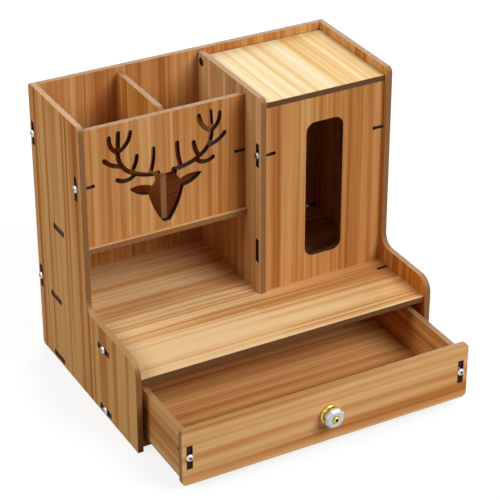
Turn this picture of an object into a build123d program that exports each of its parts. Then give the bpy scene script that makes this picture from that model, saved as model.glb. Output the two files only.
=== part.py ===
import math
import os

from build123d import *

os.makedirs("parts", exist_ok=True)

# Cabinet outside, in millimetres
width = 320.0
depth = 220.0
height = 290.0
board = 6.0

# Depths of the upper parts, from the rear edge of the side panels
left_deep = 114.0
right_deep = 137.0
back_inset = 3.0
pen_inset = 8.0
tissue_inset = 4.0
board_inset = 3.0
floor_lip = 4.0

# Heights above the table
base_lift = 3.0
desk_top = 78.0
arm_top = 97.0
floor_top = 161.0
pen_drop = 8.0
divider_rise = 2.5
partition_drop = 2.0
lid_drop = 8.0

# Widths inside
pen_wide = 170.0
window_wide = 41.0
window_margin = 26.0
window_corner = 10.0

# Rounded corners of the boards
rear_corner = 4.0
top_corner = 6.0
arm_inner = 13.0
arm_outer = 15.0
drawer_corner = 5.0
edge_ease = 0.5

# Tabs and the slots they enter
slot_long = 25.0
slot_play = 0.1
tab_long = 8.0
tab_short = 1.0
rear_tab = 42.0
front_tab = 150.0
floor_tab = 57.0
upper_drop = 66.0
tissue_upper_drop = 62.5
lower_rise = 46.0
back_upper_drop = 51.0
back_lower_rise = 4.0

# Pan-head screws and the slots cut for them in the board edges
screw_dia = 3.4
screw_play = 0.05
screw_long = 16.0
screw_tip = 3.0
screw_end_gap = 2.0
head_dia = 7.5
head_high = 2.2
recess_long = 3.8
recess_wide = 0.9
recess_deep = 1.3

# Lid and its square pivots
lid_side_gap = 0.75
lid_rest_gap = 0.1
hinge_inset = 7.0
hinge_play = 0.3
hinge_end_gap = 0.8
swing_gap = 0.5

# Drawer
drawer_open = 78.0
drawer_side_gap = 0.75
drawer_low_gap = 0.5
drawer_high_gap = 2.5
drawer_rear_gap = 0.5
front_overhang = 5.0
side_drop = 8.0
drawer_back_inset = 4.0
drawer_bottom_lift = 3.0

# Knob
base_rad = 10.4
base_high = 6.5
base_neck = 8.6
crystal_flats = 19.2
crystal_deep = 5.4
crystal_cut = 1.8
bolt_dia = 4.0
bolt_play = 0.2
bolt_head_rad = 3.4
bolt_head_high = 1.6
bolt_head_sink = 0.8
bolt_head_room = 0.6
socket_flats = 3.0
socket_deep = 1.4
nut_flats = 7.0
nut_high = 3.0
nut_play = 0.05
bolt_spare = 1.5

# Stag's head, drawn for a front of this size
figure_wide = 170.0
figure_high = 121.0
stroke = 4.6

# Values that follow from the sizes above
knob_reach = base_high + crystal_deep + bolt_head_high
rear = (depth + drawer_open + knob_reach) / 2
left_out = -width / 2
left_in = left_out + board
right_out = width / 2
right_in = right_out - board
wall_left = left_in + pen_wide
wall_right = wall_left + board
wall_mid = (wall_left + wall_right) / 2
pen_mid = (left_in + wall_left) / 2
tissue_mid = (wall_right + right_in) / 2

back_front = back_inset + board
pen_face = left_deep - pen_inset
tissue_face = right_deep - tissue_inset
shelf_front = depth - board_inset
base_top = base_lift + board
pen_top = height - pen_drop
pen_high = pen_top - floor_top
divider_top = pen_top + divider_rise
lid_top = height - lid_drop
lid_low = lid_top - board
hinge_deep = back_front + hinge_inset
hinge_high = lid_top - board / 2
hinge_rad = board / math.sqrt(2) + hinge_play
lid_heel = math.sqrt((hinge_inset - swing_gap) ** 2 - (board / 2) ** 2)
tissue_top = lid_low - lid_rest_gap
window_high = tissue_top - desk_top - 2 * window_margin

upper_tab = height - upper_drop
tissue_upper = height - tissue_upper_drop
lower_tab = desk_top + lower_rise
back_upper = height - back_upper_drop
back_lower = desk_top + back_lower_rise
slot_wide = board + 2 * slot_play
tab_span = slot_long - 2 * slot_play
tab_deep = board - tab_short
edge_slot_wide = screw_dia + 2 * screw_play
edge_slot_long = screw_long - board + screw_end_gap

front_half = right_in - drawer_side_gap
side_out = front_half - front_overhang
side_in = side_out - board
side_mid = side_out - board / 2
drawer_low = base_top + drawer_low_gap
front_top = desk_top - board - drawer_high_gap
front_mid = (drawer_low + front_top) / 2
side_top = front_top - side_drop
side_centre = (drawer_low + side_top) / 2
drawer_face = depth + drawer_open
drawer_rear = back_front + drawer_rear_gap + drawer_open
drawer_back_mid = drawer_rear + drawer_back_inset + board / 2
bottom_rear = drawer_back_mid + board / 2
bottom_mid = (bottom_rear + drawer_face - board) / 2
bottom_low = drawer_low + drawer_bottom_lift
stag = min(pen_wide / figure_wide, pen_high / figure_high)


def at(deep):
    """Y of a point this far forward of the cabinet's rear edge."""
    return rear - deep


def bar(u0, u1, v0, v1, mode=Mode.ADD):
    """Rectangle between two corners of the sketch."""
    with Locations(((u0 + u1) / 2, (v0 + v1) / 2)):
        Rectangle(abs(u1 - u0), abs(v1 - v0), mode=mode)


def slot_up(u, v):
    """Tab slot that runs up the sketch."""
    bar(u - slot_wide / 2, u + slot_wide / 2, v - slot_long / 2, v + slot_long / 2, Mode.SUBTRACT)


def slot_along(u, v):
    """Tab slot that runs across the sketch."""
    bar(u - slot_long / 2, u + slot_long / 2, v - slot_wide / 2, v + slot_wide / 2, Mode.SUBTRACT)


def plain_tab(edge, way, v):
    """Single tab on a board end that faces across the sketch."""
    bar(edge, edge + way * tab_deep, v - tab_span / 2, v + tab_span / 2)


def screw_tabs(edge, way, v):
    """Pair of tabs with room for a screw between them, and the screw's slot in the board edge."""
    bar(edge, edge + way * tab_deep, v + tab_span / 2 - tab_long, v + tab_span / 2)
    bar(edge, edge + way * tab_deep, v - tab_span / 2, v - tab_span / 2 + tab_long)
    half = edge_slot_wide / 2
    bar(edge, edge - way * edge_slot_long, v - half, v + half, Mode.SUBTRACT)


def foot_tab(u, edge):
    """Single tab that points down the sketch."""
    bar(u - tab_span / 2, u + tab_span / 2, edge - tab_deep, edge)


def corner(sketch, u, v):
    """Vertex of the sketch nearest to a point."""
    return sketch.vertices().sort_by_distance((u, v, 0))[0]


def rim_edges(panel, axis):
    """Outline edges of a board's two broad faces."""
    ends = panel.faces().filter_by(axis).sort_by(axis)
    return ends[0].outer_wire().edges() + ends[-1].outer_wire().edges()


def pan_screw(seat, out):
    """Pan-head screw whose head sits on a face at seat, with its head pointing out."""
    up = Vector(0, 0, 1)
    place = Plane(origin=seat, x_dir=up, z_dir=up.cross(out))
    shank = screw_dia / 2
    with BuildSketch(place, mode=Mode.PRIVATE) as profile:
        with BuildLine():
            Polyline((0, head_high), (0, -screw_long), (shank, screw_tip - screw_long), (shank, 0))
            Polyline((shank, 0), (head_dia / 2, 0), (head_dia / 2, head_high * 0.3))
            TangentArc((head_dia * 0.2, head_high), (head_dia / 2, head_high * 0.3), tangent=(1, 0))
            Line((head_dia * 0.2, head_high), (0, head_high))
        make_face()
    revolve(profile.sketch, axis=Axis(seat, out), mode=Mode.ADD)
    with BuildSketch(Plane(origin=seat + out * head_high, x_dir=up, z_dir=out), mode=Mode.PRIVATE) as cross:
        Rectangle(recess_long, recess_wide)
        Rectangle(recess_wide, recess_long)
    extrude(cross.sketch, amount=-recess_deep, mode=Mode.SUBTRACT)


def spot(u, v):
    """Point of the stag's head, from the foot of the pen box front's middle line."""
    return (pen_mid + u * stag, floor_top + v * stag)


def antlers():
    """Round-ended strokes along arcs, the same on both sides of the head."""
    arcs = [
        ((48.7, 92), (46.5, 79.5), (36.3, 68.3)),
        ((36.3, 68.3), (25, 63), (8, 60.6)),
        ((57.2, 108), (55.6, 99), (49, 91.5)),
        ((47.7, 111.2), (48.3, 101.5), (48.7, 92)),
        ((35.6, 109.3), (39.5, 99), (48.5, 91.8)),
        ((62.6, 86), (56.5, 80.6), (46.5, 76.8)),
        ((50, 63.3), (41.5, 60.6), (31.5, 65.5)),
        ((29.7, 83.4), (31.4, 75.6), (35, 68.5)),
        ((12.5, 87), (13.2, 74), (16, 62)),
    ]
    for side in (1, -1):
        for arc in arcs:
            points = [spot(side * u, v) for u, v in arc]
            SlotArc(Wire([Edge.make_three_point_arc(*points)]), stroke * stag, mode=Mode.SUBTRACT)


# Left side panel: tall behind, a low arm along the desk in front
with BuildPart() as left_side_panel:
    with BuildSketch(Plane.YZ.offset(left_out)) as outline:
        bar(at(0), at(depth), 0, arm_top)
        bar(at(0), at(left_deep), 0, height)
        fillet([corner(outline, at(0), 0), corner(outline, at(0), height)], rear_corner)
        fillet(corner(outline, at(left_deep), height), top_corner)
        fillet(corner(outline, at(left_deep), arm_top), arm_inner)
        fillet(corner(outline, at(depth), arm_top), arm_outer)
        slot_up(at(back_inset + board / 2), back_upper)
        slot_up(at(back_inset + board / 2), back_lower)
        slot_up(at(pen_face - board / 2), upper_tab)
        slot_along(at(floor_tab), floor_top - board / 2)
        for deep in (rear_tab, front_tab):
            slot_along(at(deep), desk_top - board / 2)
            slot_along(at(deep), base_lift + board / 2)
    extrude(amount=board)
    fillet(rim_edges(left_side_panel, Axis.X), edge_ease)
left_side_panel.part.label = "left_side_panel"
export_step(left_side_panel.part, "parts/left_side_panel.step")

# Right side panel: deeper above, with the hole for the lid's pivot
with BuildPart() as right_side_panel:
    with BuildSketch(Plane.YZ.offset(right_in)) as outline:
        bar(at(0), at(depth), 0, arm_top)
        bar(at(0), at(right_deep), 0, height)
        fillet([corner(outline, at(0), 0), corner(outline, at(0), height)], rear_corner)
        fillet(corner(outline, at(right_deep), height), top_corner)
        fillet(corner(outline, at(right_deep), arm_top), arm_inner)
        fillet(corner(outline, at(depth), arm_top), arm_outer)
        slot_up(at(back_inset + board / 2), back_upper)
        slot_up(at(back_inset + board / 2), back_lower)
        slot_up(at(tissue_face - board / 2), tissue_upper)
        slot_up(at(tissue_face - board / 2), lower_tab)
        for deep in (rear_tab, front_tab):
            slot_along(at(deep), desk_top - board / 2)
            slot_along(at(deep), base_lift + board / 2)
        with Locations((at(hinge_deep), hinge_high)):
            Circle(hinge_rad, mode=Mode.SUBTRACT)
    extrude(amount=board)
    fillet(rim_edges(right_side_panel, Axis.X), edge_ease)
right_side_panel.part.label = "right_side_panel"
export_step(right_side_panel.part, "parts/right_side_panel.step")

# Back panel: closes both boxes and the drawer space
with BuildPart() as back_panel:
    with BuildSketch(Plane.XZ.offset(-at(back_inset))):
        bar(left_in, right_in, base_lift, height)
        for high in (back_upper, back_lower):
            screw_tabs(left_in, -1, high)
            screw_tabs(right_in, 1, high)
        slot_up(wall_mid, upper_tab)
        slot_up(wall_mid, lower_tab)
        slot_up(pen_mid, upper_tab)
    extrude(amount=board)
    fillet(back_panel.edges().filter_by(Axis.X).sort_by(Axis.Z)[-2:], edge_ease)
back_panel.part.label = "back_panel"
export_step(back_panel.part, "parts/back_panel.step")

# Base board under the drawer
with BuildPart() as base_board:
    with BuildSketch(Plane.XY.offset(base_lift)):
        bar(left_in, right_in, at(shelf_front), at(back_front))
        for edge, way in ((left_in, -1), (right_in, 1)):
            plain_tab(edge, way, at(rear_tab))
            screw_tabs(edge, way, at(front_tab))
    extrude(amount=board)
    fillet(base_board.edges().filter_by(Axis.X).sort_by(Axis.Y)[:2], edge_ease)
base_board.part.label = "base_board"
export_step(base_board.part, "parts/base_board.step")

# Desk board over the drawer
with BuildPart() as desk_board:
    with BuildSketch(Plane.XY.offset(desk_top - board)):
        bar(left_in, right_in, at(shelf_front), at(back_front))
        for edge, way in ((left_in, -1), (right_in, 1)):
            plain_tab(edge, way, at(rear_tab))
            screw_tabs(edge, way, at(front_tab))
        slot_up(wall_mid, at(floor_tab))
    extrude(amount=board)
    fillet(desk_board.edges().filter_by(Axis.X).sort_by(Axis.Y)[:2], edge_ease)
desk_board.part.label = "desk_board"
export_step(desk_board.part, "parts/desk_board.step")

# Floor of the pen box, a lip wider than the box
with BuildPart() as pen_box_floor:
    with BuildSketch(Plane.XY.offset(floor_top - board)):
        bar(left_in, wall_left, at(pen_face + floor_lip), at(back_front))
        plain_tab(left_in, -1, at(floor_tab))
        plain_tab(wall_left, 1, at(floor_tab))
        slot_up(pen_mid, at(floor_tab))
    extrude(amount=board)
    fillet(pen_box_floor.edges().filter_by(Axis.X).sort_by(Axis.Y)[:2], edge_ease)
pen_box_floor.part.label = "pen_box_floor"
export_step(pen_box_floor.part, "parts/pen_box_floor.step")

# Front of the pen box with the stag's head cut through it
with BuildPart() as pen_box_front:
    with BuildSketch(Plane.XZ.offset(-at(pen_face - board))):
        bar(left_in, wall_left, floor_top, pen_top)
        screw_tabs(left_in, -1, upper_tab)
        screw_tabs(wall_left, 1, upper_tab)
        with BuildLine():
            ThreePointArc(spot(-12, 61), spot(0, 58.4), spot(12, 61))
            for side in (1, -1):
                Polyline(spot(12 * side, 61), spot(11.3 * side, 53.5), spot(14.6 * side, 48.7))
                ThreePointArc(spot(14.6 * side, 48.7), spot(25.5 * side, 52), spot(38.2 * side, 50.9))
                ThreePointArc(spot(38.2 * side, 50.9), spot(30 * side, 43.6), spot(18.4 * side, 40))
                ThreePointArc(spot(18.4 * side, 40), spot(13 * side, 23.4), spot(4 * side, 7.6))
            ThreePointArc(spot(4, 7.6), spot(0, 7), spot(-4, 7.6))
        make_face(mode=Mode.SUBTRACT)
        antlers()
    extrude(amount=board)
    fillet(pen_box_front.edges().filter_by(Axis.X).sort_by(Axis.Z)[-2:], edge_ease)
pen_box_front.part.label = "pen_box_front"
export_step(pen_box_front.part, "parts/pen_box_front.step")

# Divider between the pen box's two compartments
with BuildPart() as pen_divider:
    with BuildSketch(Plane.YZ.offset(pen_mid - board / 2)) as outline:
        bar(at(back_front), at(pen_face - board), floor_top, divider_top)
        fillet(corner(outline, at(pen_face - board), divider_top), top_corner)
        plain_tab(at(back_front), 1, upper_tab)
        foot_tab(at(floor_tab), floor_top)
    extrude(amount=board)
    crest = [e for e in rim_edges(pen_divider, Axis.X) if e.center().Z > divider_top - top_corner]
    fillet(crest, edge_ease)
pen_divider.part.label = "pen_divider"
export_step(pen_divider.part, "parts/pen_divider.step")

# Partition between the pen box and the tissue box
with BuildPart() as tissue_partition:
    with BuildSketch(Plane.YZ.offset(wall_left)) as outline:
        bar(at(back_front), at(right_deep), desk_top, height - partition_drop)
        fillet(corner(outline, at(right_deep), height - partition_drop), top_corner)
        plain_tab(at(back_front), 1, upper_tab)
        plain_tab(at(back_front), 1, lower_tab)
        foot_tab(at(floor_tab), desk_top)
        slot_up(at(pen_face - board / 2), upper_tab)
        slot_up(at(tissue_face - board / 2), tissue_upper)
        slot_up(at(tissue_face - board / 2), lower_tab)
        slot_along(at(floor_tab), floor_top - board / 2)
        with Locations((at(hinge_deep), hinge_high)):
            Circle(hinge_rad, mode=Mode.SUBTRACT)
    extrude(amount=board)
    nose = [e for e in rim_edges(tissue_partition, Axis.X) if e.center().Y < at(right_deep) + top_corner]
    fillet(nose, edge_ease)
tissue_partition.part.label = "tissue_partition"
export_step(tissue_partition.part, "parts/tissue_partition.step")

# Front of the tissue box with its tall rounded slot
with BuildPart() as tissue_front:
    with BuildSketch(Plane.XZ.offset(-at(tissue_face - board))):
        bar(wall_right, right_in, desk_top, tissue_top)
        for edge, way in ((wall_right, -1), (right_in, 1)):
            screw_tabs(edge, way, tissue_upper)
            plain_tab(edge, way, lower_tab)
        with Locations((tissue_mid, (desk_top + tissue_top) / 2)):
            RectangleRounded(window_wide, window_high, window_corner, mode=Mode.SUBTRACT)
    extrude(amount=board)
tissue_front.part.label = "tissue_front"
export_step(tissue_front.part, "parts/tissue_front.step")

# Lid of the tissue box with a square pivot at each rear corner
with BuildPart() as tissue_lid:
    with BuildSketch(Plane.XY.offset(lid_low)):
        bar(wall_right + lid_side_gap, right_in - lid_side_gap, at(tissue_face), at(hinge_deep - lid_heel))
        pivot_rear = at(hinge_deep) + board / 2
        bar(wall_left + hinge_end_gap, right_out - hinge_end_gap, pivot_rear - board, pivot_rear)
    extrude(amount=board)
    fillet(tissue_lid.edges().filter_by(Axis.X).sort_by(Axis.Y)[:2], edge_ease)
tissue_lid.part.label = "tissue_lid"
export_step(tissue_lid.part, "parts/tissue_lid.step")

# Front of the drawer, set between the side panels
with BuildPart() as drawer_front:
    with BuildSketch(Plane.XZ.offset(-at(drawer_face - board))):
        with Locations((0, front_mid)):
            RectangleRounded(2 * front_half, front_top - drawer_low, drawer_corner)
            Circle(bolt_dia / 2 + bolt_play, mode=Mode.SUBTRACT)
        slot_up(-side_mid, front_mid)
        slot_up(side_mid, front_mid)
    extrude(amount=board)
    fillet(rim_edges(drawer_front, Axis.Y), edge_ease)
drawer_front.part.label = "drawer_front"
export_step(drawer_front.part, "parts/drawer_front.step")

# Left side of the drawer
with BuildPart() as drawer_left_side:
    with BuildSketch(Plane.YZ.offset(-side_out)):
        bar(at(drawer_rear), at(drawer_face - board), drawer_low, side_top)
        screw_tabs(at(drawer_face - board), -1, front_mid)
        slot_up(at(drawer_back_mid), side_centre)
        slot_along(at(bottom_mid), bottom_low + board / 2)
    extrude(amount=board)
    fillet(drawer_left_side.edges().filter_by(Axis.Y).sort_by(Axis.Z)[-2:], edge_ease)
drawer_left_side.part.label = "drawer_left_side"
export_step(drawer_left_side.part, "parts/drawer_left_side.step")

# Right side of the drawer
with BuildPart() as drawer_right_side:
    with BuildSketch(Plane.YZ.offset(side_in)):
        bar(at(drawer_rear), at(drawer_face - board), drawer_low, side_top)
        screw_tabs(at(drawer_face - board), -1, front_mid)
        slot_up(at(drawer_back_mid), side_centre)
        slot_along(at(bottom_mid), bottom_low + board / 2)
    extrude(amount=board)
    fillet(drawer_right_side.edges().filter_by(Axis.Y).sort_by(Axis.Z)[-2:], edge_ease)
drawer_right_side.part.label = "drawer_right_side"
export_step(drawer_right_side.part, "parts/drawer_right_side.step")

# Back of the drawer, between its sides
with BuildPart() as drawer_back:
    with BuildSketch(Plane.XZ.offset(-at(drawer_back_mid - board / 2))):
        bar(-side_in, side_in, drawer_low, side_top)
        plain_tab(-side_in, -1, side_centre)
        plain_tab(side_in, 1, side_centre)
    extrude(amount=board)
    fillet(drawer_back.edges().filter_by(Axis.X).sort_by(Axis.Z)[-2:], edge_ease)
drawer_back.part.label = "drawer_back"
export_step(drawer_back.part, "parts/drawer_back.step")

# Bottom of the drawer
with BuildPart() as drawer_bottom:
    with BuildSketch(Plane.XY.offset(bottom_low)):
        bar(-side_in, side_in, at(drawer_face - board), at(bottom_rear))
        plain_tab(-side_in, -1, at(bottom_mid))
        plain_tab(side_in, 1, at(bottom_mid))
    extrude(amount=board)
drawer_bottom.part.label = "drawer_bottom"
export_step(drawer_bottom.part, "parts/drawer_bottom.step")

# Screws through the left side panel
with BuildPart() as left_panel_screws:
    for deep, high in (
        (back_inset + board / 2, back_upper),
        (back_inset + board / 2, back_lower),
        (pen_face - board / 2, upper_tab),
        (front_tab, desk_top - board / 2),
        (front_tab, base_lift + board / 2),
    ):
        pan_screw(Vector(left_out, at(deep), high), Vector(-1, 0, 0))
left_panel_screws.part.label = "left_panel_screws"
export_step(left_panel_screws.part, "parts/left_panel_screws.step")

# Screws through the right side panel
with BuildPart() as right_panel_screws:
    for deep, high in (
        (back_inset + board / 2, back_upper),
        (back_inset + board / 2, back_lower),
        (tissue_face - board / 2, tissue_upper),
        (front_tab, desk_top - board / 2),
        (front_tab, base_lift + board / 2),
    ):
        pan_screw(Vector(right_out, at(deep), high), Vector(1, 0, 0))
right_panel_screws.part.label = "right_panel_screws"
export_step(right_panel_screws.part, "parts/right_panel_screws.step")

# Screws through the partition, one each way
with BuildPart() as partition_screws:
    pan_screw(Vector(wall_right, at(pen_face - board / 2), upper_tab), Vector(1, 0, 0))
    pan_screw(Vector(wall_left, at(tissue_face - board / 2), tissue_upper), Vector(-1, 0, 0))
partition_screws.part.label = "partition_screws"
export_step(partition_screws.part, "parts/partition_screws.step")

# Screws through the drawer front into its sides
with BuildPart() as drawer_screws:
    for side in (-side_mid, side_mid):
        pan_screw(Vector(side, at(drawer_face), front_mid), Vector(0, -1, 0))
drawer_screws.part.label = "drawer_screws"
export_step(drawer_screws.part, "parts/drawer_screws.step")

# Brass collar of the knob, standing on the drawer front
knob_axis = Axis((0, at(drawer_face), front_mid), (0, -1, 0))
knob_plane = Plane(origin=(0, at(drawer_face), front_mid), x_dir=(1, 0, 0), z_dir=(0, 0, -1))
with BuildPart() as knob_base:
    with BuildSketch(knob_plane):
        with BuildLine():
            bore = bolt_dia / 2 + bolt_play
            Polyline((bore, base_high), (bore, 0), (base_rad, 0), (base_rad, base_high * 0.25))
            ThreePointArc(
                (base_rad, base_high * 0.25),
                (base_neck + (base_rad - base_neck) * 0.25, base_high * 0.4),
                (base_neck, base_high * 0.6),
            )
            ThreePointArc(
                (base_neck, base_high * 0.6),
                (base_neck + (base_rad - base_neck) * 0.25, base_high * 0.85),
                (base_neck + (base_rad - base_neck) * 0.7, base_high),
            )
            Line((base_neck + (base_rad - base_neck) * 0.7, base_high), (bore, base_high))
        make_face()
    revolve(axis=knob_axis)
knob_base.part.label = "knob_base"
export_step(knob_base.part, "parts/knob_base.step")

# Clear octagonal knob with cut facets before and behind
with BuildPart() as knob_crystal:
    with BuildSketch(Plane.XZ.offset(base_high - at(drawer_face))):
        with Locations((0, front_mid)):
            RegularPolygon(crystal_flats / 2, 8, major_radius=False, rotation=22.5)
    extrude(amount=crystal_deep)
    rims = knob_crystal.faces().filter_by(Axis.Y).sort_by(Axis.Y)
    chamfer(rims[0].edges(), crystal_cut)
    chamfer(rims[-1].edges(), crystal_cut / 2)
    with BuildSketch(Plane.XZ.offset(base_high - at(drawer_face))):
        with Locations((0, front_mid)):
            Circle(bolt_dia / 2 + bolt_play)
    extrude(amount=crystal_deep, mode=Mode.SUBTRACT)
    with BuildSketch(Plane.XZ.offset(base_high + crystal_deep - at(drawer_face))):
        with Locations((0, front_mid)):
            Circle(bolt_head_rad + bolt_head_room)
    extrude(amount=-bolt_head_sink, mode=Mode.SUBTRACT)
knob_crystal.part.label = "knob_crystal"
export_step(knob_crystal.part, "parts/knob_crystal.step")

# Brass bolt through the knob and the drawer front, its head sunk in the knob and socketed
with BuildPart() as knob_bolt:
    seat = base_high + crystal_deep - bolt_head_sink
    crown = base_high + crystal_deep + bolt_head_high
    with BuildSketch(knob_plane):
        with BuildLine():
            Polyline(
                (0, crown),
                (0, -board - nut_high - bolt_spare),
                (bolt_dia / 2, -board - nut_high - bolt_spare),
                (bolt_dia / 2, seat),
                (bolt_head_rad, seat),
                (bolt_head_rad, crown - bolt_head_high * 0.5),
            )
            TangentArc(
                (bolt_head_rad * 0.6, crown),
                (bolt_head_rad, crown - bolt_head_high * 0.5),
                tangent=(1, 0),
            )
            Line((bolt_head_rad * 0.6, crown), (0, crown))
        make_face()
    revolve(axis=knob_axis)
    with BuildSketch(Plane.XZ.offset(crown - at(drawer_face))):
        with Locations((0, front_mid)):
            RegularPolygon(socket_flats / 2, 6, major_radius=False)
    extrude(amount=-socket_deep, mode=Mode.SUBTRACT)
knob_bolt.part.label = "knob_bolt"
export_step(knob_bolt.part, "parts/knob_bolt.step")

# Nut on the bolt inside the drawer
with BuildPart() as knob_nut:
    with BuildSketch(Plane.XZ.offset(-at(drawer_face - board) - nut_high)):
        with Locations((0, front_mid)):
            RegularPolygon(nut_flats / 2, 6, major_radius=False)
            Circle(bolt_dia / 2 + nut_play, mode=Mode.SUBTRACT)
    extrude(amount=nut_high)
knob_nut.part.label = "knob_nut"
export_step(knob_nut.part, "parts/knob_nut.step")
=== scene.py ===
import math

import bmesh
import bpy
from mathutils import Matrix, Vector

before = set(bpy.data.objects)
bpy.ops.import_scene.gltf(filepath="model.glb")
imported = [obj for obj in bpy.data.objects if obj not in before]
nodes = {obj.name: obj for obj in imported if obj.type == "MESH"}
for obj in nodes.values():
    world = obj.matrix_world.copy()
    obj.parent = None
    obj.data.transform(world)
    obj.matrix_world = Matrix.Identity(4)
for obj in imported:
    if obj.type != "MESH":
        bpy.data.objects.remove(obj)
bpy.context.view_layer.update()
scene = bpy.context.scene
print("organizer:", len(nodes), "pieces loaded")

# camera, at the photo's viewing angle
cameraSetup = {
    "place": (-0.78714, -1.43116, 1.08082),
    "heading": -28.623,  # degrees, turned to the right of straight ahead
    "tilt": 29.891,      # degrees, looking down
    "roll": -0.021,
    "lens": 142.20,
    "sensor": 36,
    "clip": (0.05, 60),
}


def placeCamera(setup):
    data = bpy.data.cameras.new("photoCamera")
    data.lens = setup["lens"]
    data.sensor_fit = "HORIZONTAL"
    data.sensor_width = setup["sensor"]
    data.clip_start, data.clip_end = setup["clip"]
    cam = bpy.data.objects.new("photoCamera", data)
    turn = Matrix.Rotation(math.radians(setup["heading"]), 4, "Z")
    dip = Matrix.Rotation(math.radians(90 - setup["tilt"]), 4, "X")
    lean = Matrix.Rotation(math.radians(setup["roll"]), 4, "Z")
    cam.matrix_world = Matrix.Translation(setup["place"]) @ turn @ dip @ lean
    scene.collection.objects.link(cam)
    scene.camera = cam


placeCamera(cameraSetup)
print("camera placed")


# small helpers for node trees
def freshTree(name):
    mat = bpy.data.materials.new(name)
    mat.use_nodes = True
    mat.node_tree.nodes.clear()
    return mat, mat.node_tree


def put(tree, kind, inputs=None, **settings):
    node = tree.nodes.new(kind)
    for key, value in settings.items():
        setattr(node, key, value)
    for socket, value in (inputs or {}).items():
        if isinstance(value, bpy.types.NodeSocket):
            tree.links.new(value, node.inputs[socket])
        else:
            node.inputs[socket].default_value = value
    return node


def calc(tree, operation, *values):
    return put(tree, "ShaderNodeMath", dict(enumerate(values)), operation=operation).outputs[0]


def blendColour(tree, factor, first, second):
    node = put(tree, "ShaderNodeMix", data_type="RGBA")
    factorIn, firstIn, secondIn = (node.inputs[number] for number in (0, 6, 7))
    for socket, value in ((factorIn, factor), (firstIn, first), (secondIn, second)):
        if isinstance(value, bpy.types.NodeSocket):
            tree.links.new(value, socket)
        elif isinstance(value, tuple):
            socket.default_value = (*value, 1)
        else:
            socket.default_value = value
    return node.outputs[2]


def rampTo(tree, factor, stops):
    node = put(tree, "ShaderNodeValToRGB", {"Fac": factor})
    ramp = node.color_ramp
    while len(ramp.elements) < len(stops):
        ramp.elements.new(0.5)
    for element, (place, colour) in zip(ramp.elements, stops):
        element.position = place
        element.color = (*colour, 1)
    return node.outputs[0]


def easeBetween(tree, value, span):
    node = put(tree, "ShaderNodeMapRange", {0: value, 1: span[0], 2: span[1]},
               interpolation_type="SMOOTHSTEP")
    return node.outputs[0]


noiseMiddle = (0.3, 0.7)  # where most of a noise lies


def fromNoise(tree, noise, first, second):
    low, high = noiseMiddle
    return put(tree, "ShaderNodeMapRange", {0: noise, 1: low, 2: high, 3: first, 4: second}).outputs[0]


def fineNoise(tree, place, layer):
    settings = {"Vector": place, "Scale": layer["scale"], "Detail": layer["detail"]}
    return put(tree, "ShaderNodeTexNoise", settings).outputs[0]


def textureSource(tree):
    return put(tree, "ShaderNodeTexCoord").outputs


def byAxis(tree, vector):
    return put(tree, "ShaderNodeSeparateXYZ", {0: vector}).outputs


def gapSquared(tree, first, firstAt, second, secondAt):
    # squared distance to a point in the plane of two coordinates, the point in millimetres
    across = calc(tree, "SUBTRACT", first, firstAt / 1000)
    along = calc(tree, "SUBTRACT", second, secondAt / 1000)
    return calc(tree, "ADD", calc(tree, "MULTIPLY", across, across), calc(tree, "MULTIPLY", along, along))


def closeTree(tree, sockets):
    shader = put(tree, "ShaderNodeBsdfPrincipled", sockets)
    put(tree, "ShaderNodeOutputMaterial", {"Surface": shader.outputs[0]})


# printed wood-grain board: long soft stripes on the faces, brown core on the cut edges
woodGrain = {
    "band": {"scale": 26, "stretch": 0.05, "detail": 1, "share": 0.27},      # broad light and dark zones
    "stripe": {"scale": 120, "stretch": 0.013, "detail": 1, "share": 0.27},  # several millimetres wide
    "streak": {"scale": 300, "stretch": 0.005, "detail": 1, "share": 0.36},  # thin orange streaks
    "fibre": {"scale": 1300, "stretch": 0.010, "detail": 2, "share": 0.10},  # fine fibres
    "wander": {"scale": 14, "stretch": 0.55, "detail": 1},
    "sway": 0.0016,  # metres that the stripes wander
    "ramp": (0.38, 0.465, 0.535, 0.62),
    "roughness": (0.50, 0.64),
    "cutPolish": 0.10,  # cut edges are this much less rough
    "specular": 0.10,
    "bumpStrength": 0.35,
    "bumpHeight": 0.00012,
}
softShares = {"band": 0.30, "stripe": 0.40, "streak": 0.22, "fibre": 0.08}  # broader, softer stripes
staveLayout = {"long": 0.17, "wide": 0.026, "offset": 0.37}                 # glued staves, in metres
edgeFinish = {
    "core": (0.300, 0.142, 0.058),
    "coreDark": (0.250, 0.112, 0.044),
    "paintedTopLight": (0.460, 0.260, 0.105),  # top edges, painted light that upward edges catch
    "arris": (0.430, 0.245, 0.105),   # eased corner, paler as edge wear and as a painted highlight
    # tab ends, slot walls and cut-out walls: scorched, and darkened further by painted shade of the recesses
    "tabEnd": (0.075, 0.026, 0.010),
    "scorchedAndShaded": (0.026, 0.012, 0.007),
    "speck": {"scale": 900, "detail": 3},
    "speckSpan": (0.35, 0.65),
    "cutSpan": (0.62, 0.80),    # how squarely a face lies in the board before it shows the grain
    "arrisSpan": (0.08, 0.40),
    "arrisShare": 0.6,
    "topSpan": (0.4, 0.95),     # how squarely an edge faces up before it gets the painted top light
    "topLightShare": 0.36,
    "outlineReach": 0.8,        # millimetres from an outline that still belong to it
}
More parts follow.
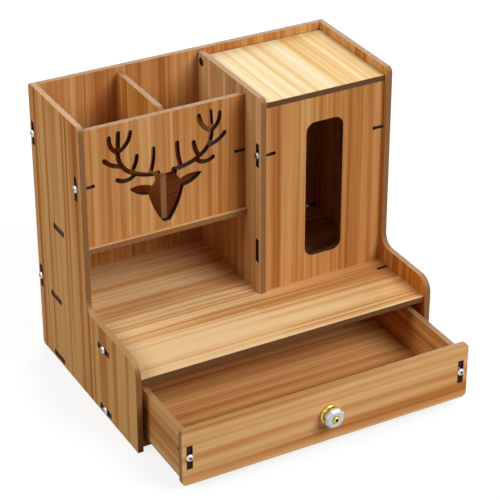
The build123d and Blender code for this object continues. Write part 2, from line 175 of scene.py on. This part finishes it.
woodTones = {
    "sideTone": ((0.360, 0.096, 0.007), (0.460, 0.152, 0.019),
                 (0.545, 0.232, 0.053), (0.650, 0.335, 0.104)),
    "partitionTone": ((0.440, 0.200, 0.066), (0.580, 0.305, 0.122),
                      (0.670, 0.390, 0.178), (0.740, 0.475, 0.240)),
    "frontTone": ((0.370, 0.122, 0.026), (0.495, 0.200, 0.055),
                  (0.590, 0.284, 0.094), (0.680, 0.384, 0.150)),
    # shelfTone and lidTone are paler copies of the wood for the boards that face up: painted light and sheen
    # that their tops catch
    "shelfTone": ((0.480, 0.203, 0.060), (0.620, 0.322, 0.120),
                  (0.720, 0.440, 0.196), (0.790, 0.550, 0.290)),
    "lidTone": ((0.630, 0.345, 0.088), (0.705, 0.465, 0.178),
                (0.745, 0.560, 0.288), (0.780, 0.640, 0.390)),
    "drawerFrontTone": ((0.500, 0.178, 0.040), (0.650, 0.275, 0.083),
                        (0.740, 0.370, 0.134), (0.805, 0.468, 0.202)),
    "drawerTone": ((0.410, 0.150, 0.036), (0.550, 0.235, 0.068),
                   (0.640, 0.320, 0.112), (0.710, 0.405, 0.168)),
}

# each board: the axis through it, the grain, the tone, and the lines of its outline in millimetres;
# a cut face away from those lines and rounds belongs to a tab, a slot or a cut-out, and is scorched and
# painted with the shade of its recess
boardLooks = {
    "left_side_panel": {
        "through": "X", "grain": "Z", "tone": "sideTone", "seed": 3.3, "contrast": 1.6,
        "shares": softShares, "topLightAmount": 0.95, "lean": ("Z", 185, -0.45),
        "lines": {"Y": (155.75, 41.75, -64.25), "Z": (0, 97, 290)},
        "rounds": ((41.75, 97, 15), (-64.25, 97, 17), (41.75, 290, 7), (155.75, 290, 5), (155.75, 0, 5))},
    "right_side_panel": {
        "through": "X", "grain": "Z", "tone": "sideTone", "seed": 4.1, "contrast": 1.2,
        "shares": softShares, "lean": ("Z", 140, 0.35),
        "lines": {"Y": (155.75, 18.75, -64.25), "Z": (0, 97, 290)},
        "rounds": ((18.75, 97, 15), (-64.25, 97, 17), (18.75, 290, 7), (155.75, 290, 5), (155.75, 0, 5))},
    "tissue_partition": {
        "through": "X", "grain": "Z", "tone": "partitionTone", "seed": 7.7, "plain": True,
        "lines": {"Y": (18.75, 146.75), "Z": (78, 288)}, "rounds": ((18.75, 288, 7),)},
    "pen_divider": {
        "through": "X", "grain": "Z", "tone": "sideTone", "seed": 2.9, "plain": True,
        "lines": {"Y": (55.75, 146.75), "Z": (161, 284.5)}, "rounds": ((55.75, 284.5, 7),)},
    "back_panel": {
        "through": "Y", "grain": "Z", "tone": "frontTone", "seed": 5.3,
        "lines": {"X": (-154, 154), "Z": (3, 290)}},
    "pen_box_front": {
        "through": "Y", "grain": "Z", "tone": "frontTone", "seed": 3.2,
        "shares": softShares, "lean": ("X", -84, -0.36),
        "lines": {"X": (-154, 16), "Z": (161, 282)}},
    "tissue_front": {
        "through": "Y", "grain": "Z", "tone": "frontTone", "seed": 9.4, "contrast": 0.75,
        "plainWithin": ("X", 40, 136), "lean": ("X", 30, -0.60),
        "lines": {"X": (22, 154), "Z": (78, 275.9)}},
    "base_board": {
        "through": "Z", "grain": "X", "tone": "shelfTone", "seed": 6.6,
        "plainWithin": ("Y", 60, 200),
        "lines": {"X": (-154, 154), "Y": (-61.25, 146.75)}},
    "desk_board": {
        "through": "Z", "grain": "X", "tone": "shelfTone", "seed": 8.8, "contrast": 1.2,
        "plainWithin": ("Y", 60, 200), "edgeShade": 0.45, "staves": 0.06, "lean": ("X", 0, -0.40),
        "lines": {"X": (-154, 154), "Y": (-61.25, 146.75)}},
    "pen_box_floor": {
        "through": "Z", "grain": "X", "tone": "shelfTone", "seed": 0.7, "plain": True,
        "lines": {"X": (-154, 16), "Y": (45.75, 146.75)}},
    "tissue_lid": {
        "through": "Z", "grain": "Y", "tone": "lidTone", "seed": 5.9, "contrast": 0.9,
        "shares": softShares, "edgeShade": 0.6, "lean": ("X", 80, -0.40),
        "lines": {"X": (22.75, 153.25), "Y": (22.75, 145.5)}},
    "drawer_front": {
        "through": "Y", "grain": "X", "tone": "drawerFrontTone", "seed": 12.4, "contrast": 1.2,
        "shares": softShares, "topLightAmount": 0.85, "lean": ("X", 0, -0.10),
        "lines": {"X": (-153.25, 153.25), "Z": (9.5, 69.5)},
        "rounds": ((-153.25, 9.5, 6), (-153.25, 69.5, 6), (153.25, 9.5, 6), (153.25, 69.5, 6))},
    "drawer_left_side": {
        "through": "X", "grain": "Y", "tone": "drawerTone", "seed": 3.7, "topLightAmount": 0.75,
        "lines": {"Y": (-136.25, 68.25), "Z": (9.5, 61.5)}},
    "drawer_right_side": {
        "through": "X", "grain": "Y", "tone": "drawerTone", "seed": 6.1,
        "lines": {"Y": (-136.25, 68.25), "Z": (9.5, 61.5)}},
    "drawer_back": {
        "through": "Y", "grain": "X", "tone": "drawerTone", "seed": 5.8, "plain": True,
        "lines": {"X": (-142.25, 142.25), "Z": (9.5, 61.5)}},
    "drawer_bottom": {
        "through": "Z", "grain": "X", "tone": "drawerTone", "seed": 4.6, "plain": True,
        "lines": {"X": (-142.25, 142.25), "Y": (-136.25, 58.25)}},
}


def stretchedNoise(tree, place, grain, layer):
    shape = tuple(layer["stretch"] if axis == grain else 1.0 for axis in "XYZ")
    mapped = put(tree, "ShaderNodeMapping", {"Vector": place, "Scale": shape})
    return fineNoise(tree, mapped.outputs[0], layer)


def outlineMask(tree, coords, look):
    # 1 on cut faces that lie away from the board's outline
    nearest = None
    for axis, lines in look["lines"].items():
        for line in lines:
            gap = calc(tree, "ABSOLUTE", calc(tree, "SUBTRACT", coords[axis], line / 1000))
            nearest = gap if nearest is None else calc(tree, "MINIMUM", nearest, gap)
    away = calc(tree, "GREATER_THAN", nearest, edgeFinish["outlineReach"] / 1000)
    firstAxis, secondAxis = look["lines"]
    for first, second, reach in look.get("rounds", ()):
        squared = gapSquared(tree, coords[firstAxis], first, coords[secondAxis], second)
        away = calc(tree, "MULTIPLY", away, calc(tree, "GREATER_THAN", squared, (reach / 1000) ** 2))
    return away


def grainTone(tree, place, coords, look):
    # place on the tone ramp, and the noise of each layer
    grain = look["grain"]
    shifted = put(tree, "ShaderNodeVectorMath", {0: place, 1: (look["seed"],) * 3}).outputs[0]
    wander = stretchedNoise(tree, shifted, grain, woodGrain["wander"])
    drift = calc(tree, "MULTIPLY", calc(tree, "SUBTRACT", wander, 0.5), woodGrain["sway"] * 2)
    swayed = put(tree, "ShaderNodeVectorMath", {0: shifted, 1: drift}).outputs[0]
    tone = 0.0
    layers = {}
    for layer in ("band", "stripe", "streak", "fibre"):
        layers[layer] = stretchedNoise(tree, swayed, grain, woodGrain[layer])
        share = look.get("shares", {}).get(layer, woodGrain[layer]["share"])
        tone = calc(tree, "ADD", tone, calc(tree, "MULTIPLY", layers[layer], share))
    if "staves" in look:  # staves with butt ends, lighter and darker
        stave = put(tree, "ShaderNodeTexBrick", {
            "Vector": place, "Color1": (0, 0, 0, 1), "Color2": (1, 1, 1, 1), "Mortar": (0.5, 0.5, 0.5, 1),
            "Scale": 1.0, "Mortar Size": 0.0, "Brick Width": staveLayout["long"],
            "Row Height": staveLayout["wide"]}, offset=staveLayout["offset"])
        lift = calc(tree, "SUBTRACT", stave.outputs["Color"], 0.5)
        tone = calc(tree, "ADD", tone, calc(tree, "MULTIPLY", lift, look["staves"]))
    if "contrast" in look:
        apart = calc(tree, "SUBTRACT", tone, 0.5)
        tone = calc(tree, "ADD", calc(tree, "MULTIPLY", apart, look["contrast"]), 0.5)
    if "lean" in look:  # the board darkens or pales slowly to one side
        axis, middle, slope = look["lean"]
        along = calc(tree, "SUBTRACT", coords[axis], middle / 1000)
        tone = calc(tree, "ADD", tone, calc(tree, "MULTIPLY", along, slope))
    return tone, layers


def cutEdge(tree, place, coords, flat, upward, onCut, look):
    # brown core; paler eased corner as edge wear and painted highlight; painted top light on upward edges;
    # scorched, with painted shade, inside slots
    speck = easeBetween(tree, fineNoise(tree, place, edgeFinish["speck"]), edgeFinish["speckSpan"])
    core = blendColour(tree, speck, edgeFinish["coreDark"], edgeFinish["core"])
    # painted light: cut edges that face up are paled towards the top-light colour
    topLightAmount = look.get("topLightAmount", edgeFinish["topLightShare"])
    paintedTopLight = calc(tree, "MULTIPLY", easeBetween(tree, upward, edgeFinish["topSpan"]), topLightAmount)
    core = blendColour(tree, paintedTopLight, core, edgeFinish["paintedTopLight"])
    # partly scorch, partly painted shade: this board's cut edges are drawn towards the near-black colour
    if "edgeShade" in look:
        core = blendColour(tree, look["edgeShade"], core, edgeFinish["scorchedAndShaded"])
    # the eased corner is paled: edge wear and a painted highlight
    arris = calc(tree, "MULTIPLY", onCut, easeBetween(tree, flat, edgeFinish["arrisSpan"]))
    arris = calc(tree, "MULTIPLY", arris, edgeFinish["arrisShare"])
    edge = blendColour(tree, arris, core, edgeFinish["arris"])
    # painted shade: faces in slots, at tab ends and in cut-outs go near-black
    burnAndShade = edgeFinish["tabEnd"] if look.get("plain") else edgeFinish["scorchedAndShaded"]
    if "plainWithin" in look:  # plain tabs and cut-outs are paler, with less painted shade than the tabs round a screw
        axis, start, end = look["plainWithin"]
        inside = calc(tree, "MULTIPLY", calc(tree, "GREATER_THAN", coords[axis], start / 1000),
                      calc(tree, "LESS_THAN", coords[axis], end / 1000))
        burnAndShade = blendColour(tree, inside, edgeFinish["scorchedAndShaded"], edgeFinish["tabEnd"])
    return blendColour(tree, outlineMask(tree, coords, look), edge, burnAndShade)


def boardMaterial(name, look):
    mat, tree = freshTree(name + "Wood")
    source = textureSource(tree)
    place = source["Object"]
    coords = byAxis(tree, place)
    facing = byAxis(tree, source["Normal"])
    flat = calc(tree, "ABSOLUTE", facing[look["through"]])
    onCut = calc(tree, "SUBTRACT", 1.0, easeBetween(tree, flat, edgeFinish["cutSpan"]))
    tone, layers = grainTone(tree, place, coords, look)
    face = rampTo(tree, tone, tuple(zip(woodGrain["ramp"], woodTones[look["tone"]])))
    edge = cutEdge(tree, place, coords, flat, facing["Z"], onCut, look)
    low, high = woodGrain["roughness"]
    shine = fromNoise(tree, layers["streak"], high, low)
    rough = calc(tree, "SUBTRACT", shine, calc(tree, "MULTIPLY", onCut, woodGrain["cutPolish"]))
    bump = put(tree, "ShaderNodeBump", {"Height": layers["fibre"], "Strength": woodGrain["bumpStrength"],
                                        "Distance": woodGrain["bumpHeight"]})
    closeTree(tree, {"Base Color": blendColour(tree, onCut, face, edge), "Roughness": rough,
                     "Normal": bump.outputs[0], "Specular IOR Level": woodGrain["specular"]})
    return mat


# bright zinc screws; the cross recess and the shank are dark and dull with painted shade
steelFinish = {
    "bright": (0.68, 0.68, 0.69),
    "dim": (0.48, 0.48, 0.50),
    "shadedRecess": (0.030, 0.028, 0.028),
    "shank": (0.050, 0.047, 0.045),
    "brushed": {"scale": 1600, "detail": 3},
    "roughness": (0.20, 0.40),
    "shankRough": 0.3,
}
# millimetres over the head's seat, and round the screw's axis
screwShape = {"recessFloor": 0.6, "recessTop": 2.12, "underHead": -0.1,
              "crossReach": 2.1, "centreReach": 1.1, "shankReach": 6.0}
# millimetres from the origin to each head's seat and the way it faces, and each screw's place across it
screwLooks = {
    "left_panel_screws": {"out": "X", "shade": 0.85, "seats": (
        ((-160, -1), ((149.75, 239), (149.75, 82), (52.75, 224), (5.75, 75), (5.75, 6))),)},
    "right_panel_screws": {"out": "X", "shade": 0.85, "seats": (
        ((160, 1), ((149.75, 239), (149.75, 82), (25.75, 227.5), (5.75, 75), (5.75, 6))),)},
    "partition_screws": {"out": "X", "shade": 0.62, "seats": (
        ((22, 1), ((52.75, 224),)), ((16, -1), ((25.75, 227.5),)))},
    "drawer_screws": {"out": "Y", "shade": 1.0, "seats": (
        ((-142.25, -1), ((-145.25, 39.5), (145.25, 39.5))),)},
}


def screwMasks(tree, coords, look):
    # 1 inside the cross recess of each head, and 1 on the shanks, the places that get painted shade
    size = {key: value / 1000 for key, value in screwShape.items()}
    across = "Y" if look["out"] == "X" else "X"
    shadedRecess = 0.0
    shank = 0.0
    for (seat, way), places in look["seats"]:
        rise = calc(tree, "SUBTRACT", coords[look["out"]], seat / 1000)
        rise = calc(tree, "MULTIPLY", rise, float(way))
        raised = calc(tree, "GREATER_THAN", rise, size["recessFloor"])
        sunk = calc(tree, "MULTIPLY", raised, calc(tree, "LESS_THAN", rise, size["recessTop"]))
        behind = calc(tree, "LESS_THAN", rise, size["underHead"])
        for first, second in places:
            away = calc(tree, "SQRT", gapSquared(tree, coords[across], first, coords["Z"], second))
            inCross = calc(tree, "MULTIPLY", sunk, calc(tree, "LESS_THAN", away, size["crossReach"]))
            # painted shade: a dark disc at the head's centre
            atCentre = calc(tree, "MULTIPLY", raised, calc(tree, "LESS_THAN", away, size["centreReach"]))
            onShank = calc(tree, "MULTIPLY", behind, calc(tree, "LESS_THAN", away, size["shankReach"]))
            shadedRecess = calc(tree, "MAXIMUM", shadedRecess, calc(tree, "MAXIMUM", inCross, atCentre))
            shank = calc(tree, "MAXIMUM", shank, onShank)
    return shadedRecess, shank


def steelMaterial(name, look):
    mat, tree = freshTree(name + "Steel")
    place = textureSource(tree)["Object"]
    shadedRecess, shank = screwMasks(tree, byAxis(tree, place), look)
    brushed = fineNoise(tree, place, steelFinish["brushed"])
    # painted shade: each set of screws is darkened by its shade factor
    dim, bright = (tuple(part * look["shade"] for part in steelFinish[key]) for key in ("dim", "bright"))
    colour = blendColour(tree, brushed, dim, bright)
    colour = blendColour(tree, shank, colour, steelFinish["shank"])
    colour = blendColour(tree, shadedRecess, colour, steelFinish["shadedRecess"])
    rough = fromNoise(tree, brushed, *steelFinish["roughness"])
    rough = calc(tree, "ADD", rough, calc(tree, "MULTIPLY", shank, steelFinish["shankRough"]))
    closeTree(tree, {"Base Color": colour, "Metallic": calc(tree, "SUBTRACT", 1.0, shank), "Roughness": rough})
    return mat


# yellow brass of the knob's collar, bolt and nut; painted shade darkens the inside of the bolt head's socket,
# placed in millimetres
brassFinish = {
    "bright": (0.66, 0.54, 0.13),
    "dim": (0.46, 0.35, 0.06),
    "tarnish": {"scale": 420, "detail": 4},
    "tarnishSpan": (0.35, 0.65),
    "roughness": (0.18, 0.34),
    "socket": {"axis": (0, 39.5), "reach": 1.76, "mouth": -155.70, "tone": (0.040, 0.034, 0.014)},
}


def brassMaterial(name, socket=None):
    mat, tree = freshTree(name + "Brass")
    place = textureSource(tree)["Object"]
    tarnish = fineNoise(tree, place, brassFinish["tarnish"])
    colour = blendColour(tree, easeBetween(tree, tarnish, brassFinish["tarnishSpan"]),
                         brassFinish["dim"], brassFinish["bright"])
    # painted shade inside the bolt head's socket
    if socket:
        coords = byAxis(tree, place)
        squared = gapSquared(tree, coords["X"], socket["axis"][0], coords["Z"], socket["axis"][1])
        near = calc(tree, "LESS_THAN", squared, (socket["reach"] / 1000) ** 2)
        inside = calc(tree, "GREATER_THAN", coords["Y"], socket["mouth"] / 1000)
        colour = blendColour(tree, calc(tree, "MULTIPLY", near, inside), colour, socket["tone"])
    rough = fromNoise(tree, tarnish, *brassFinish["roughness"])
    closeTree(tree, {"Base Color": colour, "Metallic": 1.0, "Roughness": rough})
    return mat


# clear cut knob, a little milky and silvery
crystalFinish = {
    "clear": (0.90, 0.90, 0.91),
    "milky": (0.82, 0.82, 0.84),
    "cloud": {"scale": 260, "detail": 2},
    "roughness": 0.05,
    "metallic": 0.18,
    "ior": 1.52,
    "transmission": 0.34,
}


def crystalMaterial():
    mat, tree = freshTree("knobCrystal")
    cloud = fineNoise(tree, textureSource(tree)["Object"], crystalFinish["cloud"])
    closeTree(tree, {"Base Color": blendColour(tree, cloud, crystalFinish["milky"], crystalFinish["clear"]),
                     "Roughness": crystalFinish["roughness"], "Metallic": crystalFinish["metallic"],
                     "IOR": crystalFinish["ior"], "Transmission Weight": crystalFinish["transmission"]})
    return mat


def dress(name, mat):
    piece = nodes[name]
    piece.data.materials.clear()
    piece.data.materials.append(mat)


for boardName, boardLook in boardLooks.items():
    dress(boardName, boardMaterial(boardName, boardLook))
for screwName, screwLook in screwLooks.items():
    dress(screwName, steelMaterial(screwName, screwLook))
dress("knob_base", brassMaterial("collar"))
dress("knob_bolt", brassMaterial("bolt", brassFinish["socket"]))
dress("knob_nut", brassMaterial("nut"))
dress("knob_crystal", crystalMaterial())
print("finishes on", len(boardLooks), "boards, the screws and the knob")

# floor, lamps and world
studio = {
    "floorSize": 12.0,
    "floorTone": 0.24,
    "floorLift": (0.80, 1.00),  # added white that the camera, metal and glass see, near and far off
    "floorFade": (0.5, 2.2),    # metres from the middle where the near white turns into the far white
    "worldLight": 0.12,
    "leftLamp": {"place": (-1.82, 0.20, 1.68), "aim": (0, 0, 0.12), "size": 1.4, "power": 30},
    "frontLamp": {"place": (0.85, -1.60, 1.62), "aim": (0, 0, 0.12), "size": 1.5, "power": 48},
    "backLamp": {"place": (0.95, 1.70, 1.25), "aim": (0, 0, 0.12), "size": 1.4, "power": 26},
}


def seenWhite(tree):
    # 1 for camera, glossy and transmission rays
    rays = put(tree, "ShaderNodeLightPath").outputs
    seen = calc(tree, "MAXIMUM", rays["Is Camera Ray"], rays["Is Glossy Ray"])
    return calc(tree, "MAXIMUM", seen, rays["Is Transmission Ray"])


def layFloor(setup):
    shape = bmesh.new()
    bmesh.ops.create_grid(shape, x_segments=1, y_segments=1, size=setup["floorSize"] / 2)
    data = bpy.data.meshes.new("studioFloor")
    shape.to_mesh(data)
    shape.free()
    floor = bpy.data.objects.new("studioFloor", data)
    scene.collection.objects.link(floor)
    mat, tree = freshTree("paleFloor")
    tone = setup["floorTone"]
    matte = put(tree, "ShaderNodeBsdfDiffuse", {"Color": (tone, tone, tone, 1)})
    away = put(tree, "ShaderNodeVectorMath", {0: textureSource(tree)["Object"]}, operation="LENGTH")
    near, far = setup["floorLift"]
    start, end = setup["floorFade"]
    fade = put(tree, "ShaderNodeMapRange", {0: away.outputs["Value"], 1: start, 2: end, 3: near, 4: far})
    lift = calc(tree, "MULTIPLY", seenWhite(tree), fade.outputs[0])
    glow = put(tree, "ShaderNodeEmission", {"Color": (1, 1, 1, 1), "Strength": lift})
    both = put(tree, "ShaderNodeAddShader", {0: matte.outputs[0], 1: glow.outputs[0]})
    put(tree, "ShaderNodeOutputMaterial", {"Surface": both.outputs[0]})
    data.materials.append(mat)


def hangLamp(name, setup):
    data = bpy.data.lights.new(name, "AREA")
    data.shape = "DISK"
    data.size = setup["size"]
    data.energy = setup["power"]
    lamp = bpy.data.objects.new(name, data)
    lamp.location = setup["place"]
    aim = Vector(setup["aim"]) - Vector(setup["place"])
    lamp.rotation_euler = aim.to_track_quat("-Z", "Y").to_euler()
    scene.collection.objects.link(lamp)


def lightWorld(setup):
    world = bpy.data.worlds.new("studioWorld")
    scene.world = world
    world.use_nodes = True
    tree = world.node_tree
    tree.nodes.clear()
    level = calc(tree, "MAXIMUM", seenWhite(tree), setup["worldLight"])
    sky = put(tree, "ShaderNodeBackground", {"Color": (1, 1, 1, 1), "Strength": level})
    put(tree, "ShaderNodeOutputWorld", {"Surface": sky.outputs[0]})


layFloor(studio)
for lampName in ("leftLamp", "frontLamp", "backLamp"):
    hangLamp(lampName, studio[lampName])
lightWorld(studio)
scene.view_settings.view_transform = "Standard"
print("floor and lamps set")
